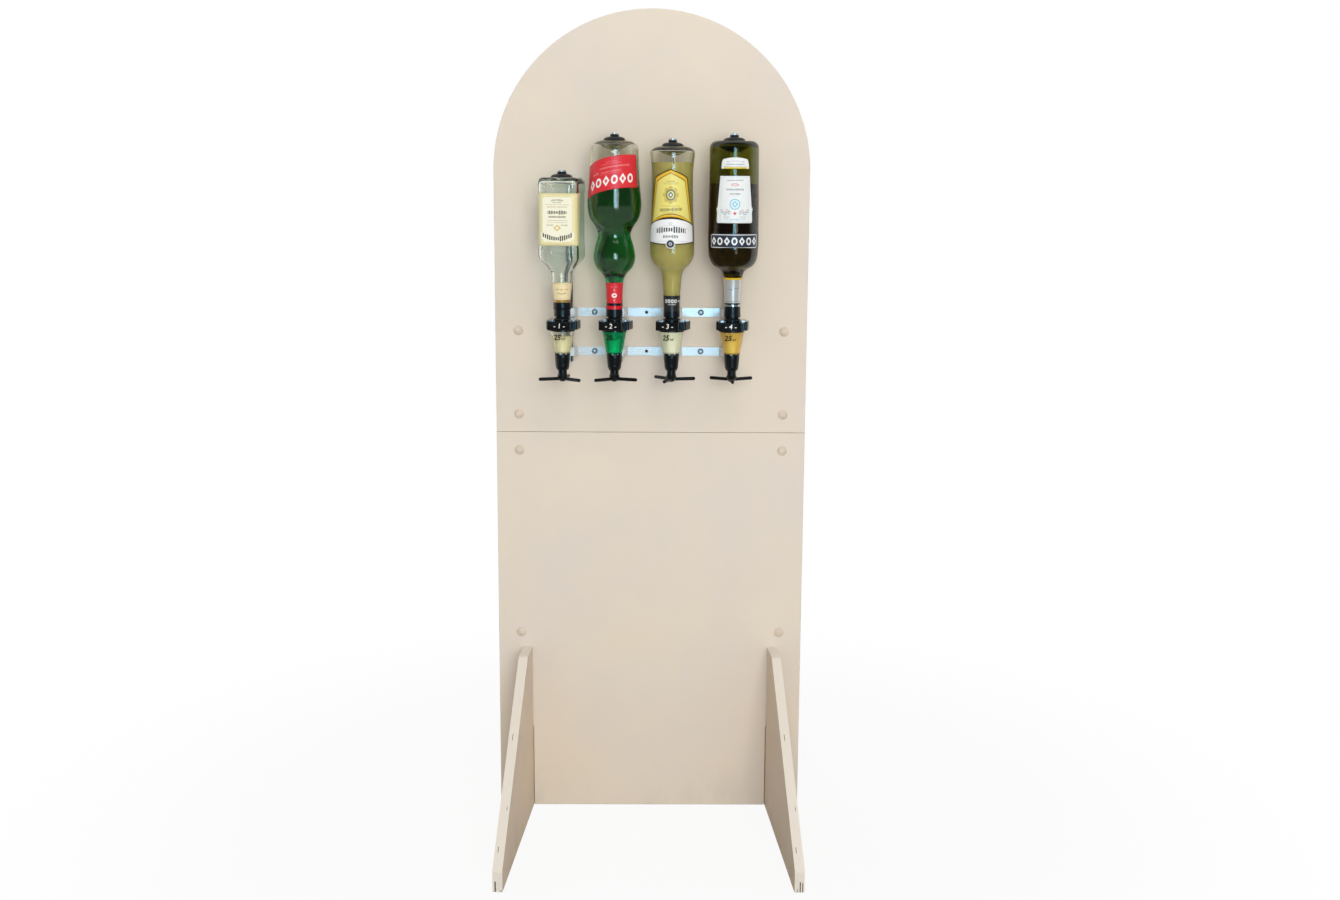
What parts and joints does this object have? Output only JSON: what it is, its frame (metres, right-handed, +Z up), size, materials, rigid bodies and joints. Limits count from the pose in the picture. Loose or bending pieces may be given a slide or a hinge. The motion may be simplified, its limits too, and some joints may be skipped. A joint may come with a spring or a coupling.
{
  "type": "cocktail dispenser",
  "caption": "Free-standing arched board on crossed feet, with rails that carry inverted bottles, each held by a sprung grip over a push-up spirit measure.",
  "frame": {"origin": "on the floor under the middle of the board, in the board's middle plane", "axes": "+Z up, -Y the front that the bottles face, +X to the right of someone facing the front"},
  "size_m": [0.6, 0.8214, 1.5649],
  "materials": {
    "painted_board": "satin beige paint on plywood",
    "painted_bolt": "steel painted over with the board",
    "zinc_steel": "bright zinc plate",
    "bright_rail": "bright plated strip",
    "grey_tube": "satin grey tube",
    "chrome": "chrome plate",
    "nylon": "natural nylon",
    "spring_steel": "drawn spring wire",
    "black_rubber": "matt",
    "black_plastic": "satin moulded",
    "clear_plastic": "clear moulded plastic",
    "clear_glass": "clear",
    "green_glass": "olive green, clear"
  },
  "bodies": {
    "stand": {"upper_panel": "painted_board", "lower_panel": "painted_board", "left_foot": "painted_board", "right_foot": "painted_board", "left_batten": "painted_board", "right_batten": "painted_board", "coach_bolts": "painted_bolt", "washers": "zinc_steel", "wing_nuts": "zinc_steel", "lower_rail": "bright_rail", "upper_rail": "bright_rail", "rail_screws": "zinc_steel", "spine_tubes": "grey_tube", "tube_bushes": "nylon", "bungs": "black_rubber", "bracket_fork_1": "chrome", "bottle_1": "clear_glass", "collar_1": "black_plastic", "chamber_1": "clear_plastic", "spout_body_1": "black_plastic", "valve_spring_1": "spring_steel", "grip_spring_1": "spring_steel", "bracket_fork_2": "chrome", "bottle_2": "clear_glass", "collar_2": "black_plastic", "chamber_2": "clear_plastic", "spout_body_2": "black_plastic", "valve_spring_2": "spring_steel", "grip_spring_2": "spring_steel", "bracket_fork_3": "chrome", "bottle_3": "clear_glass", "collar_3": "black_plastic", "chamber_3": "clear_plastic", "spout_body_3": "black_plastic", "valve_spring_3": "spring_steel", "grip_spring_3": "spring_steel", "bracket_fork_4": "chrome", "bottle_4": "green_glass", "collar_4": "black_plastic", "chamber_4": "clear_plastic", "spout_body_4": "black_plastic", "valve_spring_4": "spring_steel", "grip_spring_4": "spring_steel"},
    "grip_1": {"grip_rod_1": "chrome", "rubber_bell_1": "black_rubber"},
    "valve_1": {"valve_stem_1": "nylon"},
    "trigger_star_1": {"trigger_1": "black_plastic"},
    "grip_2": {"grip_rod_2": "chrome", "rubber_bell_2": "black_rubber"},
    "valve_2": {"valve_stem_2": "nylon"},
    "trigger_star_2": {"trigger_2": "black_plastic"},
    "grip_3": {"grip_rod_3": "chrome", "rubber_bell_3": "black_rubber"},
    "valve_3": {"valve_stem_3": "nylon"},
    "trigger_star_3": {"trigger_3": "black_plastic"},
    "grip_4": {"grip_rod_4": "chrome", "rubber_bell_4": "black_rubber"},
    "valve_4": {"valve_stem_4": "nylon"},
    "trigger_star_4": {"trigger_4": "black_plastic"}
  },
  "joints": [
    {"name": "grip_lift_1", "type": "slide", "parent": "stand", "child": "grip_1", "axis": [0, 0, 1], "range_m": [0, 0.045], "stiffness_N_per_m": 150, "springref_m": -0.05, "deforming": ["grip_spring_1"]},
    {"name": "valve_lift_1", "type": "slide", "parent": "stand", "child": "valve_1", "axis": [0, 0, 1], "range_m": [0, 0.008], "stiffness_N_per_m": 300, "springref_m": -0.01, "deforming": ["valve_spring_1"]},
    {"name": "trigger_turn_1", "type": "hinge", "parent": "valve_1", "child": "trigger_star_1", "pos_m": [-0.16648, -0.09336, 0.8812], "axis": [0, 0, 1], "continuous": true},
    {"name": "grip_lift_2", "type": "slide", "parent": "stand", "child": "grip_2", "axis": [0, 0, 1], "range_m": [0, 0.045], "stiffness_N_per_m": 150, "springref_m": -0.05, "deforming": ["grip_spring_2"]},
    {"name": "valve_lift_2", "type": "slide", "parent": "stand", "child": "valve_2", "axis": [0, 0, 1], "range_m": [0, 0.008], "stiffness_N_per_m": 300, "springref_m": -0.01, "deforming": ["valve_spring_2"]},
    {"name": "trigger_turn_2", "type": "hinge", "parent": "valve_2", "child": "trigger_star_2", "pos_m": [-0.06902, -0.09364, 0.8812], "axis": [0, 0, 1], "continuous": true},
    {"name": "grip_lift_3", "type": "slide", "parent": "stand", "child": "grip_3", "axis": [0, 0, 1], "range_m": [0, 0.045], "stiffness_N_per_m": 150, "springref_m": -0.05, "deforming": ["grip_spring_3"]},
    {"name": "valve_lift_3", "type": "slide", "parent": "stand", "child": "valve_3", "axis": [0, 0, 1], "range_m": [0, 0.008], "stiffness_N_per_m": 300, "springref_m": -0.01, "deforming": ["valve_spring_3"]},
    {"name": "trigger_turn_3", "type": "hinge", "parent": "valve_3", "child": "trigger_star_3", "pos_m": [0.03793, -0.09384, 0.8812], "axis": [0, 0, 1], "continuous": true},
    {"name": "grip_lift_4", "type": "slide", "parent": "stand", "child": "grip_4", "axis": [0, 0, 1], "range_m": [0, 0.045], "stiffness_N_per_m": 150, "springref_m": -0.05, "deforming": ["grip_spring_4"]},
    {"name": "valve_lift_4", "type": "slide", "parent": "stand", "child": "valve_4", "axis": [0, 0, 1], "range_m": [0, 0.008], "stiffness_N_per_m": 300, "springref_m": -0.01, "deforming": ["valve_spring_4"]},
    {"name": "trigger_turn_4", "type": "hinge", "parent": "valve_4", "child": "trigger_star_4", "pos_m": [0.15138, -0.09388, 0.8812], "axis": [0, 0, 1], "continuous": true}
  ]
}
